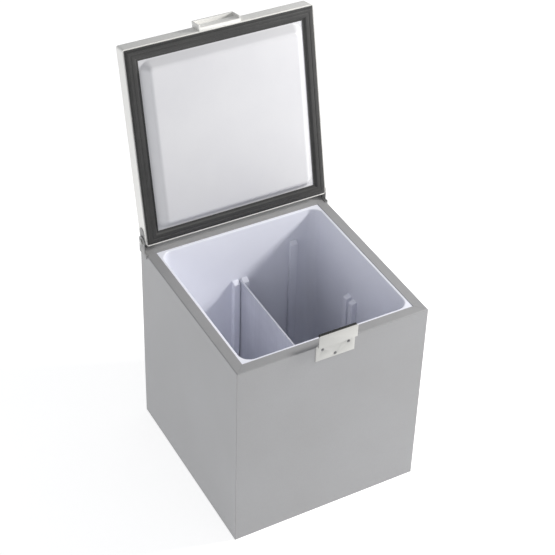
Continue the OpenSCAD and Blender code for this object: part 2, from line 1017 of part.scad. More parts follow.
// a block with round corners whose sides slope in, its wide end at z = 0 and growing along -Z
module sloped_block(w, l, h, r, slope) {
  // straight stretches, as sections extruded along X and along Y
  rotate([90, 0, 90])
    linear_extrude(w - 2 * r, center = true)
      polygon([[-l / 2, 0], [l / 2, 0], [l / 2 - slope, -h], [-l / 2 + slope, -h]]);
  rotate([90, 0, 0])
    linear_extrude(l - 2 * r, center = true)
      polygon([[-w / 2, 0], [w / 2, 0], [w / 2 - slope, -h], [-w / 2 + slope, -h]]);
  for (sx = [-1, 1], sy = [-1, 1])
    translate([sx * (w / 2 - r), sy * (l / 2 - r), -h])
      cylinder(h = h, r1 = r - slope, r2 = r);
}

// the raised middle of the inner panel, drawn hanging below the lid
module plug(shrink) {
  translate([0, lid_mid, lid_z + shrink])
    sloped_block(plug_w - 2 * shrink, plug_l - 2 * shrink, plug_h, plug_r - shrink, plug_slope);
}

module lid_inner_panel() {
  color("white")
    opened()
      difference() {
        union() {
          lid_slab(gasket_in + 0.6, lid_z, lid_z + panel_t);
          plug(0);
        }
        plug(panel_t);
      }
}

module lid_foam() {
  color("khaki")
    opened()
      difference() {
        union() {
          lid_slab(gasket_in + 2, lid_z + panel_t, lid_z + lid_t - lid_sheet - 0.2);
          plug(panel_t + 0.3);
        }
        pin_holes();
      }
}

module lid_gasket() {
  base_h = 2;
  bead_in = gasket_in + 4;
  bead_w = gasket_w - 9;
  color("#262626")
    opened()
      difference() {
        union() {
          lid_slab(gasket_in, lid_z - base_h, lid_z);
          lid_slab(bead_in, lid_z - gasket_h, lid_z);
        }
        lid_slab(gasket_in + gasket_w, lid_z - 10, lid_z + over);
        difference() {
          lid_slab(bead_in + bead_w, lid_z - 10, lid_z - base_h);
          lid_slab(gasket_in + gasket_w, lid_z - 11, lid_z);
        }
      }
}

// channel on the lid's front edge that the hasp's strip closes into
module lid_catch() {
  catch_half = latch_w / 2 + 0.5 + cheek_t;
  lip_z = hasp_top + 1.5;
  color("whitesmoke")
    opened()
      difference() {
        union() {
          span([-catch_half, lid_y0 - catch_back_t, lid_z], [catch_half, lid_y0, lid_z + lid_t]);
          span([-catch_half, lid_y0 - catch_rib, lid_z], [catch_half, lid_y0, lid_z + catch_rib_h]);
          span([-catch_half, lid_y0 - catch_out, lip_z], [catch_half, lid_y0, lid_z + lid_t]);
          both_sides()
            span([catch_half - cheek_t, lid_y0 - catch_out, lid_z], [catch_half, lid_y0, lid_z + lid_t]);
        }
        catch_screw_places() {
          cylinder(h = 20, r = catch_screw_r + hole_gap, center = true);
          cylinder(h = catch_well + over, r = 2 * catch_screw_r + hole_gap);
        }
      }
}

module catch_screws() {
  color("gray")
    opened()
      catch_screw_places()
        screw(catch_screw_r, 4);
}

// straps on the lid's sides that carry the hinge pins
module hinge_arms() {
  head = bracket_head_r - 3;
  length = 24;
  color("gray")
    opened()
      difference() {
        both_sides()
          translate([lid_half, 0, 0])
            rotate([90, 0, 90])
              linear_extrude(arm_t) {
                translate([hinge_y - length, hinge_z - head])
                  square([length, 2 * head]);
                translate([hinge_y - length, hinge_z])
                  circle(head);
                intersection() {
                  translate([hinge_y, hinge_z])
                    circle(head);
                  translate([hinge_y - head, hinge_z - head])
                    square([head + lid_tail, 2 * head]);
                }
              }
        pin_holes();
      }
}

module hinge_pins() {
  color("silver")
    opened()
      both_sides()
        translate([0, hinge_y, hinge_z]) {
          bar_x(lid_half - 18, bracket_x + bracket_t + 1, hinge_pin_r);
          bar_x(bracket_x + bracket_t + 0.9, bracket_x + bracket_t + 3, hinge_pin_r + 3);
        }
}

front_panel();
left_panel();
right_panel();
rear_panel();
base_pan();
feet();
liner();
cabinet_foam();
evaporator_coil();
condenser_coil();
probe_cover();
sensor_bulb();
machine_bay();
compressor();
compressor_grommets();
compressor_bolts();
start_module();
filter_drier();
discharge_pipe();
suction_pipe();
service_cover();
cover_screws();
thermostat();
thermostat_knob();
pilot_lamp();
cord_gland();
divider();
hinge_bracket_left();
hinge_bracket_right();
bracket_screws();
hinge_bushes();
keeper_plate();
keeper_screws();
latch_pin();
latch_hasp();
hasp_strip();
lid_outer_pan();
lid_inner_panel();
lid_foam();
lid_gasket();
lid_catch();
catch_screws();
hinge_arms();
hinge_pins();
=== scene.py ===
# %% [markdown]
# # A cube-shaped chest freezer in Blender
# The steel cabinet, its hinges and its screws come from the engineering model, which is the fixed
# frame. What a hand or an eye meets first, such as the liner, the lid and its seal, is modelled again
# here with soft edges. Everything is in metres. The lid stands open at rest, so its pieces are made
# closed and then turned open.

# %% Load the frame
import json
import math

import bmesh
import bpy
from mathutils import Matrix, Vector


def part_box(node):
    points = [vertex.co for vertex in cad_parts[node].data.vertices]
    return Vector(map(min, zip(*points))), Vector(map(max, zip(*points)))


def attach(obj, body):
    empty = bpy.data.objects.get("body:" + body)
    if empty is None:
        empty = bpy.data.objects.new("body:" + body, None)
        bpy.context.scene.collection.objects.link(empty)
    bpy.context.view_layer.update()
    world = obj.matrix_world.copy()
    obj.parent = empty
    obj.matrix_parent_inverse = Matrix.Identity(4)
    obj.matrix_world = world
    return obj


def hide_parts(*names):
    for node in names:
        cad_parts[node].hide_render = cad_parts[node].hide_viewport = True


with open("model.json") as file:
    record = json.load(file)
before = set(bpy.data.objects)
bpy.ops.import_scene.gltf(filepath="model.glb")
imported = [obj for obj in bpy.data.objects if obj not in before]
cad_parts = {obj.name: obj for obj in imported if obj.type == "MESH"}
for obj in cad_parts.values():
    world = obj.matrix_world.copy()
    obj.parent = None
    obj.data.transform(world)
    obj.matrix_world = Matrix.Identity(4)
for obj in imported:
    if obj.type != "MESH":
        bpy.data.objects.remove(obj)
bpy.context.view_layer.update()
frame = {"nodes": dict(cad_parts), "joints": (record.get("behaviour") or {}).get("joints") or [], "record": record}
nodes = frame["nodes"]
mm = 0.001

# %% [markdown]
# ## Helpers for modelling
# Every piece starts as a primitive that fills a box given by two corners. Edit mode acts on whatever is
# selected, so a helper deselects everything and then picks faces, edges or points by a test on their
# place or direction.


# %% Picking and shaping
def block(name, low, high):
    """A box between two corners, alone in the selection, with its place in its mesh."""
    bpy.ops.object.select_all(action="DESELECT")
    low, high = Vector(low), Vector(high)
    bpy.ops.mesh.primitive_cube_add(size=1, location=(low + high) / 2)
    piece = bpy.context.object
    piece.name = name
    piece.scale = high - low
    bpy.ops.object.transform_apply(location=True, rotation=True, scale=True)
    return piece


def focus(piece):
    """Leaves edit mode and makes the piece the only one selected."""
    if bpy.context.mode != "OBJECT":
        bpy.ops.object.mode_set(mode="OBJECT")
    bpy.ops.object.select_all(action="DESELECT")
    piece.select_set(True)
    bpy.context.view_layer.objects.active = piece


def pick(piece, kind, test):
    """Enters edit mode with only the faces, edges or verts that pass the test selected."""
    focus(piece)
    bpy.ops.object.mode_set(mode="EDIT")
    bpy.ops.mesh.select_mode(type={"faces": "FACE", "edges": "EDGE", "verts": "VERT"}[kind])
    bpy.ops.mesh.select_all(action="DESELECT")
    mesh = bmesh.from_edit_mesh(piece.data)
    chosen = [element for element in getattr(mesh, kind) if test(element)]
    for element in chosen:
        element.select_set(True)
    mesh.select_flush_mode()
    bmesh.update_edit_mesh(piece.data)
    return len(chosen)


def done():
    bpy.ops.object.mode_set(mode="OBJECT")


def along(edge, axis):
    """True if an edge runs along an axis, 0, 1 or 2."""
    run = edge.verts[1].co - edge.verts[0].co
    return abs(run[axis]) > 0.99 * run.length


def middle(edge):
    return (edge.verts[0].co + edge.verts[1].co) / 2


def near(value, goal, reach=0.2 * mm):
    return abs(value - goal) < reach


def round_edges(piece, test, radius, steps):
    """Rounds the edges that pass the test."""
    count = pick(piece, "edges", test)
    bpy.ops.mesh.bevel(offset=radius, segments=steps, profile=0.5, affect="EDGES", clamp_overlap=False)
    done()
    return count


def apply_modifier(piece, kind, **settings):
    focus(piece)
    modifier = piece.modifiers.new(kind.lower(), kind)
    for name, value in settings.items():
        setattr(modifier, name, value)
    bpy.ops.object.modifier_apply(modifier=modifier.name)


def combine(piece, tool, operation):
    """Cuts the tool out of the piece or adds it, and throws the tool away."""
    apply_modifier(piece, "BOOLEAN", object=tool, operation=operation, solver="EXACT")
    bpy.data.objects.remove(tool)


def soften(piece, radius, steps=2, angle=35):
    """Rounds every sharp edge a little."""
    apply_modifier(piece, "BEVEL", width=radius, segments=steps, limit_method="ANGLE",
                   angle_limit=math.radians(angle), use_clamp_overlap=False)


print("helpers ready")

# %% [markdown]
# ## Camera
# A long lens looks down from the front left, so that the open lid, the inside and two sides of the
# cabinet show. The camera is tilted by almost two degrees, and the frame is moved down a little to keep
# the whole lid in it.


# %% Place the camera
def add_camera(place, azimuth, elevation, roll, lens, shift_y):
    data = bpy.data.cameras.new("camera")
    camera = bpy.data.objects.new("camera", data)
    bpy.context.scene.collection.objects.link(camera)
    data.sensor_width = 36
    data.lens = lens
    data.shift_y = shift_y
    data.dof.use_dof = False
    data.clip_start = 0.05
    data.clip_end = 50
    turn, rise = math.radians(azimuth), math.radians(elevation)
    ahead = Vector((-math.sin(turn) * math.cos(rise), math.cos(turn) * math.cos(rise), -math.sin(rise)))
    right = Vector((math.cos(turn), math.sin(turn), 0))
    up = right.cross(ahead)
    lean = math.radians(roll)
    tilted_right = right * math.cos(lean) + up * math.sin(lean)
    tilted_up = up * math.cos(lean) - right * math.sin(lean)
    camera.matrix_world = Matrix((
        (tilted_right.x, tilted_up.x, -ahead.x, place[0]),
        (tilted_right.y, tilted_up.y, -ahead.y, place[1]),
        (tilted_right.z, tilted_up.z, -ahead.z, place[2]),
        (0, 0, 0, 1),
    ))
    bpy.context.scene.camera = camera
    return camera


view_camera = add_camera((-1.396, -2.439, 2.780), -29.53, 37.16, 1.79, lens=100.3, shift_y=-0.0766)
print("camera distance", round(view_camera.location.length, 2), "m")

# %% [markdown]
# ## Helpers for materials
# A material is a small graph of nodes. The helper below adds one node and fills its sockets: a number
# or a colour is set on the socket, and another node's socket is linked to it. Patterns read Object
# coordinates, so they keep to the piece when it moves.


# %% Add nodes to a graph
def add(tree, kind, settings=None, **sockets):
    made = tree.nodes.new(kind)
    for name, value in (settings or {}).items():
        setattr(made, name, value)
    for name, value in sockets.items():
        socket = made.inputs[name.replace("_", " ")]
        if isinstance(value, bpy.types.NodeSocket):
            tree.links.new(value, socket)
        else:
            socket.default_value = value
    return made


def math_node(tree, operation, first, second=0.0):
    made = tree.nodes.new("ShaderNodeMath")
    made.operation = operation
    for socket, value in zip(made.inputs, (first, second)):
        if isinstance(value, bpy.types.NodeSocket):
            tree.links.new(value, socket)
        else:
            socket.default_value = value
    return made.outputs[0]


def mix_colour(tree, factor, first, second, blend="MIX"):
    made = tree.nodes.new("ShaderNodeMix")
    made.data_type = "RGBA"
    made.blend_type = blend
    for index, value in ((0, factor), (6, first), (7, second)):
        if isinstance(value, bpy.types.NodeSocket):
            tree.links.new(value, made.inputs[index])
        else:
            made.inputs[index].default_value = value
    return made.outputs[2]


def spread(tree, value, low, high, to_low, to_high):
    """Stretches a range of values to another, with the ends held."""
    return add(tree, "ShaderNodeMapRange", Value=value, From_Min=low, From_Max=high, To_Min=to_low,
               To_Max=to_high).outputs["Result"]


def object_place(tree):
    return add(tree, "ShaderNodeTexCoord").outputs["Object"]


def grey(value, tint=(1, 1, 1)):
    return (value * tint[0], value * tint[1], value * tint[2], 1)


print("node helpers ready")

# %% [markdown]
# ## Effects that several finishes share
# Each effect is a node group with named inputs and outputs, like a tool that every material can pick
# up: a drift between two colours, paint peel, dust that has settled, scuffs near the floor, and a
# moulded skin.


# %% A group with named sockets
def make_group(name, inputs, outputs, build):
    tree = bpy.data.node_groups.new(name, "ShaderNodeTree")
    for label, kind, value in inputs:
        socket = tree.interface.new_socket(label, in_out="INPUT", socket_type=kind)
        socket.default_value = value
    for label, kind in outputs:
        tree.interface.new_socket(label, in_out="OUTPUT", socket_type=kind)
    source = tree.nodes.new("NodeGroupInput")
    result = tree.nodes.new("NodeGroupOutput")
    build(tree, source.outputs, result.inputs)
    print("group", name, "with", len(tree.nodes), "nodes")
    return tree


FLOAT = "NodeSocketFloat"
COLOUR = "NodeSocketColor"


# %% Colour drift and paint peel
def build_drift(tree, given, out):
    scale = math_node(tree, "DIVIDE", 1.0, given["Patch Size"])
    cloud = add(tree, "ShaderNodeTexNoise", Vector=object_place(tree), Scale=scale, Detail=4.0,
                Roughness=0.6)
    amount = spread(tree, cloud.outputs["Fac"], 0.3, 0.7, 0.0, 1.0)
    tree.links.new(mix_colour(tree, amount, given["First"], given["Second"]), out["Color"])
    tree.links.new(amount, out["Amount"])


colour_drift = make_group(
    "Colour Drift",
    [("First", COLOUR, grey(0.5)), ("Second", COLOUR, grey(0.6)), ("Patch Size", FLOAT, 0.1)],
    [("Color", COLOUR), ("Amount", FLOAT)],
    build_drift,
)


def build_peel(tree, given, out):
    place = object_place(tree)
    wide = math_node(tree, "DIVIDE", 1.0, given["Peel Size"])
    fine = math_node(tree, "MULTIPLY", wide, 5.0)
    waves = add(tree, "ShaderNodeTexNoise", Vector=place, Scale=wide, Detail=2.0, Roughness=0.5)
    pits = add(tree, "ShaderNodeTexNoise", Vector=place, Scale=fine, Detail=3.0, Roughness=0.7)
    flakes = add(tree, "ShaderNodeTexVoronoi", Vector=place, Scale=math_node(tree, "MULTIPLY", wide, 3.5))
    shine = add(tree, "ShaderNodeSeparateColor", Color=flakes.outputs["Color"])
    small_pits = math_node(tree, "MULTIPLY", pits.outputs["Fac"], 0.3)
    height = math_node(tree, "ADD", waves.outputs["Fac"], small_pits)
    tree.links.new(height, out["Height"])
    tree.links.new(shine.outputs["Red"], out["Flake"])
    tree.links.new(pits.outputs["Fac"], out["Pits"])


paint_peel = make_group("Paint Peel", [("Peel Size", FLOAT, 0.002)],
                        [("Height", FLOAT), ("Flake", FLOAT), ("Pits", FLOAT)], build_peel)


# %% Settled dust, floor scuffs and moulded skin
def build_dust(tree, given, out):
    """Dust lies on faces that look up, in uneven patches."""
    coordinates = add(tree, "ShaderNodeTexCoord")
    facing = add(tree, "ShaderNodeSeparateXYZ", Vector=coordinates.outputs["Normal"])
    level = spread(tree, facing.outputs["Z"], 0.55, 0.98, 0.0, 1.0)
    scale = math_node(tree, "DIVIDE", 1.0, given["Patch Size"])
    cloud = add(tree, "ShaderNodeTexNoise", Vector=coordinates.outputs["Object"], Scale=scale, Detail=6.0,
                Roughness=0.7)
    patches = spread(tree, cloud.outputs["Fac"], 0.35, 0.75, 0.2, 1.0)
    strength = math_node(tree, "MULTIPLY", given["Amount"], patches)
    tree.links.new(math_node(tree, "MULTIPLY", level, strength), out["Mask"])


settled_dust = make_group("Settled Dust", [("Amount", FLOAT, 0.1), ("Patch Size", FLOAT, 0.03)],
                          [("Mask", FLOAT)], build_dust)


def build_scuffs(tree, given, out):
    """Short scratches that thin out upwards from the floor."""
    place = object_place(tree)
    height = add(tree, "ShaderNodeSeparateXYZ", Vector=place).outputs["Z"]
    band = spread(tree, height, 0.0, given["Reach"], 1.0, 0.0)
    stretched = add(tree, "ShaderNodeMapping", Vector=place, Scale=(60, 60, 420))
    lines = add(tree, "ShaderNodeTexNoise", Vector=stretched.outputs["Vector"], Scale=1.0, Detail=3.0)
    marks = spread(tree, lines.outputs["Fac"], 0.6, 0.72, 0.0, 1.0)
    strength = math_node(tree, "MULTIPLY", given["Amount"], marks)
    tree.links.new(math_node(tree, "MULTIPLY", band, strength), out["Mask"])


floor_scuffs = make_group("Floor Scuffs", [("Amount", FLOAT, 0.5), ("Reach", FLOAT, 0.06)],
                          [("Mask", FLOAT)], build_scuffs)


def build_skin(tree, given, out):
    """The fine pebble that a mould leaves in plastic or rubber."""
    place = object_place(tree)
    scale = math_node(tree, "DIVIDE", 1.0, given["Pebble Size"])
    pebble = add(tree, "ShaderNodeTexVoronoi", Vector=place, Scale=scale, Randomness=0.9)
    haze = add(tree, "ShaderNodeTexNoise", Vector=place, Scale=math_node(tree, "MULTIPLY", scale, 0.06),
               Detail=5.0, Roughness=0.6)
    tree.links.new(pebble.outputs["Distance"], out["Height"])
    tree.links.new(haze.outputs["Fac"], out["Haze"])


moulded_skin = make_group("Moulded Skin", [("Pebble Size", FLOAT, 0.001)],
                          [("Height", FLOAT), ("Haze", FLOAT)], build_skin)


# %% Streaks and tool marks
def build_streaks(tree, given, out):
    """Long faint lines up and down, as in sheet drawn through rollers."""
    stretched = add(tree, "ShaderNodeMapping", Vector=object_place(tree), Scale=(1, 1, 0.02))
    scale = math_node(tree, "DIVIDE", 1.0, given["Line Width"])
    lines = add(tree, "ShaderNodeTexNoise", Vector=stretched.outputs["Vector"], Scale=scale, Detail=3.0,
                Roughness=0.6)
    tree.links.new(spread(tree, lines.outputs["Fac"], 0.35, 0.65, 0.0, 1.0), out["Mask"])


drawn_streaks = make_group("Drawn Streaks", [("Line Width", FLOAT, 0.004)], [("Mask", FLOAT)], build_streaks)


def build_tool_marks(tree, given, out):
    """Fine parallel marks, with darker spots where the plating is thin."""
    place = object_place(tree)
    stretched = add(tree, "ShaderNodeMapping", Vector=place, Scale=(1, 0.05, 1))
    scale = math_node(tree, "DIVIDE", 1.0, given["Mark Width"])
    marks = add(tree, "ShaderNodeTexNoise", Vector=stretched.outputs["Vector"], Scale=scale, Detail=4.0)
    spots = add(tree, "ShaderNodeTexNoise", Vector=place, Scale=math_node(tree, "MULTIPLY", scale, 0.25),
                Detail=6.0, Roughness=0.7)
    tree.links.new(marks.outputs["Fac"], out["Height"])
    tree.links.new(spread(tree, spots.outputs["Fac"], 0.5, 0.75, 0.0, 1.0), out["Spots"])


tool_marks = make_group("Tool Marks", [("Mark Width", FLOAT, 0.0006)],
                        [("Height", FLOAT), ("Spots", FLOAT)], build_tool_marks)


# %% Start and finish a material
def use_group(tree, group, **values):
    return add(tree, "ShaderNodeGroup", {"node_tree": group}, **values).outputs


def start_material(name, **sockets):
    """A new material and its shader, with the constant values set on the shader itself."""
    material = bpy.data.materials.new(name)
    material.use_nodes = True
    tree = material.node_tree
    shader = tree.nodes["Principled BSDF"]
    for label, value in sockets.items():
        shader.inputs[label.replace("_", " ")].default_value = value
    return material, tree, shader.inputs


def add_bump(tree, shader_inputs, height, depth):
    """Turns a pattern into relief of a real depth in metres."""
    bump = add(tree, "ShaderNodeBump", Height=height, Strength=1.0, Distance=depth)
    tree.links.new(bump.outputs["Normal"], shader_inputs["Normal"])


print("groups:", len(bpy.data.node_groups))

# %% [markdown]
# ## Painted steel
# The cabinet is steel sheet with a silver-grey powder coat. Powder paint levels out into a faint orange
# peel, has tiny metallic flakes, and drifts very slightly in tone. Low on the sides it picks up scuffs,
# and dust settles on the rim. The same recipe in other colours gives the lid's off-white paint and the
# paint of the latch.


# %% Painted steel finishes
def painted_steel(name, light, dark, roughness, flake, peel_size, metallic=0.0, dust=0.15, scuffs=0.0):
    material, tree, shader = start_material(name, Metallic=metallic, Coat_Weight=0.12, Coat_Roughness=0.25)
    drift = use_group(tree, colour_drift, First=dark, Second=light, Patch_Size=0.22)
    peel = use_group(tree, paint_peel, Peel_Size=peel_size)
    sparkle = spread(tree, peel["Flake"], 0.0, 1.0, 1.0 - flake, 1.0 + flake)
    sparkle_colour = add(tree, "ShaderNodeCombineColor", Red=sparkle, Green=sparkle, Blue=sparkle)
    paint = mix_colour(tree, 1.0, drift["Color"], sparkle_colour.outputs["Color"], "MULTIPLY")
    settled = use_group(tree, settled_dust, Amount=dust, Patch_Size=0.04)["Mask"]
    paint = mix_colour(tree, settled, paint, grey(0.55, (1.0, 0.97, 0.93)))
    rubbed = use_group(tree, floor_scuffs, Amount=scuffs, Reach=0.05)["Mask"]
    paint = mix_colour(tree, rubbed, paint, grey(0.16))
    tree.links.new(paint, shader["Base Color"])
    rough = spread(tree, peel["Pits"], 0.3, 0.7, roughness - 0.05, roughness + 0.06)
    dusty = math_node(tree, "MULTIPLY", settled, 0.3)
    tree.links.new(math_node(tree, "ADD", rough, dusty), shader["Roughness"])
    add_bump(tree, shader, peel["Height"], 0.00004)
    return material


cabinet_paint = painted_steel("cabinet_paint", grey(0.34, (0.985, 0.99, 1.02)),
                              grey(0.32, (0.99, 0.99, 1.01)), 0.42, 0.05, 0.0022, metallic=0.15,
                              dust=0.12, scuffs=0.5)
lid_paint = painted_steel("lid_paint", grey(0.84, (1.0, 0.995, 0.965)), grey(0.81, (1.0, 0.99, 0.955)),
                          0.38, 0.02, 0.0022, dust=0.08)
latch_paint = painted_steel("latch_paint", grey(0.58, (1.0, 0.998, 0.965)), grey(0.55, (1.0, 0.995, 0.955)),
                            0.32, 0.015, 0.0016, dust=0.1)
hinge_paint = painted_steel("hinge_paint", grey(0.34, (0.99, 1.0, 1.0)), grey(0.27, (1.0, 1.0, 1.0)),
                            0.45, 0.08, 0.0012, metallic=0.4, dust=0.1)
print("painted finishes:", [m.name for m in (cabinet_paint, lid_paint, latch_paint, hinge_paint)])

# %% [markdown]
# ## Plastics and rubber
# The liner is a sheet of white plastic drawn down into a mould, so it is smooth, a little glossy, and
# very slightly uneven in tone where it stretched. The divider is extruded sheet with fine lines along
# its height. The seal is soft dark rubber with a bloom of pale dust, and small mouldings have a fine
# pebble skin.


# %% Plastic finishes
def moulded_plastic(name, light, dark, roughness, pebble, depth, streaks=0.0, dust=0.0, subsurface=0.0):
    material, tree, shader = start_material(name, Subsurface_Weight=subsurface, Subsurface_Scale=0.004,
                                            IOR=1.49)
    drift = use_group(tree, colour_drift, First=dark, Second=light, Patch_Size=0.16)
    skin = use_group(tree, moulded_skin, Pebble_Size=pebble)
    lines = use_group(tree, drawn_streaks, Line_Width=0.005)["Mask"]
    tone = math_node(tree, "MULTIPLY", lines, streaks)
    colour = mix_colour(tree, tone, drift["Color"], dark)
    settled = use_group(tree, settled_dust, Amount=dust, Patch_Size=0.02)["Mask"]
    colour = mix_colour(tree, settled, colour, grey(0.5, (1.0, 0.97, 0.93)))
    tree.links.new(colour, shader["Base Color"])
    haze = spread(tree, skin["Haze"], 0.3, 0.7, roughness - 0.06, roughness + 0.08)
    dusty = math_node(tree, "MULTIPLY", settled, 0.2)
    tree.links.new(math_node(tree, "ADD", haze, dusty), shader["Roughness"])
    relief = math_node(tree, "ADD", skin["Height"], math_node(tree, "MULTIPLY", lines, streaks))
    add_bump(tree, shader, relief, depth)
    return material


liner_white = moulded_plastic("liner_white", grey(0.88, (0.955, 0.97, 1.055)),
                              grey(0.85, (0.95, 0.965, 1.06)), 0.34, 0.0016, 0.00002, streaks=0.12)
tray_white = moulded_plastic("tray_white", grey(0.67, (0.985, 0.985, 1.015)), grey(0.64, (0.98, 0.98, 1.02)),
                             0.36, 0.0018, 0.00002, streaks=0.06)
# The divider is the same white plastic as the liner, but its two tones are set much darker: painted shade for the
# shadow that falls on its face.
divider_white = moulded_plastic("divider_white", grey(0.70, (0.95, 0.965, 1.06)),
                                grey(0.50, (0.94, 0.96, 1.08)), 0.34, 0.0012, 0.00001, streaks=0.5)
cover_grey = moulded_plastic("cover_grey", grey(0.075, (0.96, 1.0, 1.06)), grey(0.06), 0.5, 0.0009, 0.00006,
                             dust=0.12)
knob_white = moulded_plastic("knob_white", grey(0.70, (1.0, 0.99, 0.96)), grey(0.62), 0.4, 0.0007, 0.00003,
                             dust=0.08)
nylon_ivory = moulded_plastic("nylon_ivory", grey(0.62, (1.0, 0.97, 0.88)), grey(0.55, (1.0, 0.96, 0.86)),
                              0.45, 0.0006, 0.00002, subsurface=0.1)
module_black = moulded_plastic("module_black", grey(0.035), grey(0.025), 0.5, 0.001, 0.00006, dust=0.2)
print("plastic finishes ready")


# %% Rubber finishes
def soft_rubber(name, light, dark, roughness, bloom):
    material, tree, shader = start_material(name, Sheen_Weight=0.05, Sheen_Roughness=0.5)
    drift = use_group(tree, colour_drift, First=dark, Second=light, Patch_Size=0.05)
    skin = use_group(tree, moulded_skin, Pebble_Size=0.0008)
    cloud = use_group(tree, paint_peel, Peel_Size=0.006)
    powder = spread(tree, cloud["Pits"], 0.5, 0.8, 0.0, bloom)
    tree.links.new(mix_colour(tree, powder, drift["Color"], grey(0.35)), shader["Base Color"])
    tree.links.new(spread(tree, skin["Haze"], 0.3, 0.7, roughness - 0.08, roughness + 0.1),
                   shader["Roughness"])
    add_bump(tree, shader, skin["Height"], 0.00005)
    return material


seal_rubber = soft_rubber("seal_rubber", grey(0.036, (1.0, 0.99, 0.97)), grey(0.026), 0.6, 0.1)
strip_rubber = soft_rubber("strip_rubber", grey(0.012), grey(0.008), 0.7, 0.02)
pad_rubber = soft_rubber("pad_rubber", grey(0.05), grey(0.03), 0.7, 0.3)
print("rubber finishes ready")

# %% [markdown]
# ## Bare metals, foam and the small lamp
# Screws, pins and the base pan are zinc-plated: cool grey, with tool marks and dull spots. The cooling
# pipes are copper that has darkened unevenly. Poured foam is pale yellow with open cells. None of these
# shows much, but a removed cover or a low camera reaches them.


# %% Metal finishes
def plated_metal(name, light, dark, roughness, mark, spots=0.5):
    material, tree, shader = start_material(name, Metallic=1.0)
    drift = use_group(tree, colour_drift, First=dark, Second=light, Patch_Size=0.02)
    marks = use_group(tree, tool_marks, Mark_Width=mark)
    dull = math_node(tree, "MULTIPLY", marks["Spots"], spots)
    tree.links.new(mix_colour(tree, dull, drift["Color"], dark), shader["Base Color"])
    tree.links.new(spread(tree, marks["Spots"], 0.0, 1.0, roughness, roughness + 0.2), shader["Roughness"])
    add_bump(tree, shader, marks["Height"], 0.00002)
    return material


screw_zinc = plated_metal("screw_zinc", grey(0.30, (0.98, 1.0, 1.02)), grey(0.16), 0.28, 0.0004)
pin_steel = plated_metal("pin_steel", grey(0.50), grey(0.32), 0.32, 0.0005)
pan_zinc = plated_metal("pan_zinc", grey(0.52, (0.98, 1.0, 1.02)), grey(0.36), 0.42, 0.002)
coil_metal = plated_metal("coil_metal", grey(0.58), grey(0.42), 0.38, 0.001)
copper_pipe = plated_metal("copper_pipe", (0.72, 0.33, 0.19, 1), (0.30, 0.12, 0.07, 1), 0.3, 0.001, spots=0.8)
black_enamel = painted_steel("black_enamel", grey(0.022), grey(0.014), 0.3, 0.1, 0.003, dust=0.3)


# %% Foam and lamp
def cellular_foam():
    material, tree, shader = start_material("cellular_foam", Subsurface_Weight=0.1, Subsurface_Scale=0.003)
    drift = use_group(tree, colour_drift, First=(0.62, 0.50, 0.26, 1), Second=(0.78, 0.68, 0.42, 1),
                      Patch_Size=0.06)
    cells = use_group(tree, moulded_skin, Pebble_Size=0.0012)
    tree.links.new(drift["Color"], shader["Base Color"])
    tree.links.new(spread(tree, cells["Haze"], 0.2, 0.8, 0.75, 0.95), shader["Roughness"])
    add_bump(tree, shader, cells["Height"], 0.0005)
    return material


def lamp_lens():
    material, tree, shader = start_material("lamp_lens", Transmission_Weight=0.35, IOR=1.49)
    drift = use_group(tree, colour_drift, First=(0.02, 0.30, 0.07, 1), Second=(0.04, 0.45, 0.12, 1),
                      Patch_Size=0.004)
    rings = use_group(tree, moulded_skin, Pebble_Size=0.0012)
    tree.links.new(drift["Color"], shader["Base Color"])
    tree.links.new(spread(tree, rings["Haze"], 0.2, 0.8, 0.12, 0.25), shader["Roughness"])
    add_bump(tree, shader, rings["Height"], 0.0002)
    return material


foam_yellow = cellular_foam()
lamp_green = lamp_lens()
print("materials:", len(bpy.data.materials))

# %% [markdown]
# ## Dress the frame's own pieces
# These pieces already have the right shape, so only their finish changes, through their material slots.

# %% Give each node its finish
finishes = {
    cabinet_paint: ["front_panel", "left_panel", "right_panel", "rear_panel"],
    pan_zinc: ["base_pan", "machine_bay"],
    pad_rubber: ["feet", "compressor_grommets", "cord_gland"],
    foam_yellow: ["cabinet_foam", "lid_foam"],
    coil_metal: ["evaporator_coil"],
    black_enamel: ["compressor", "condenser_coil"],
    copper_pipe: ["filter_drier", "discharge_pipe", "suction_pipe", "sensor_bulb"],
    module_black: ["start_module"],
    nylon_ivory: ["thermostat", "hinge_bushes"],
    lamp_green: ["pilot_lamp"],
    screw_zinc: ["keeper_screws", "cover_screws", "bracket_screws", "catch_screws", "compressor_bolts"],
    pin_steel: ["latch_pin", "hinge_pins"],
}
for finish, names in finishes.items():
    for name in names:
        for slot in nodes[name].material_slots:
            slot.material = finish
print("dressed", sum(len(names) for names in finishes.values()), "nodes")

# %% [markdown]
# ## Settle a finished piece
# Each new piece gets smooth shading with crisp edges and its finish. It takes the place of the node that
# it stands for, and rides on that node's body.


# %% Settle and count
body_of_node = {n: body for body, members in frame["record"]["behaviour"]["bodies"].items() for n in members}


def settle(piece, finish, *stands_for, angle=30):
    focus(piece)
    bpy.ops.object.mode_set(mode="EDIT")
    bpy.ops.mesh.select_all(action="SELECT")
    bpy.ops.mesh.remove_doubles(threshold=0.00001)
    bpy.ops.mesh.normals_make_consistent(inside=False)
    done()
    bpy.ops.object.shade_smooth_by_angle(angle=math.radians(angle))
    piece.data.materials.clear()
    piece.data.materials.append(finish)
    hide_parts(*stands_for)
    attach(piece, body_of_node[stands_for[0]])
    piece.data.calc_loop_triangles()
    count = len(piece.data.loop_triangles)
    print(piece.name, "stands for", ", ".join(stands_for), "with", count, "triangles")


# %% [markdown]
# ## The liner
# A real liner is one plastic sheet, heated and drawn down over a mould, so every corner inside is
# round. Here the hollow is modelled first, as the mould would be: a block with round edges, less the
# step over the machine bay and less the guide rails. That hollow is then cut out of a slightly bigger
# block with a flange round its top.

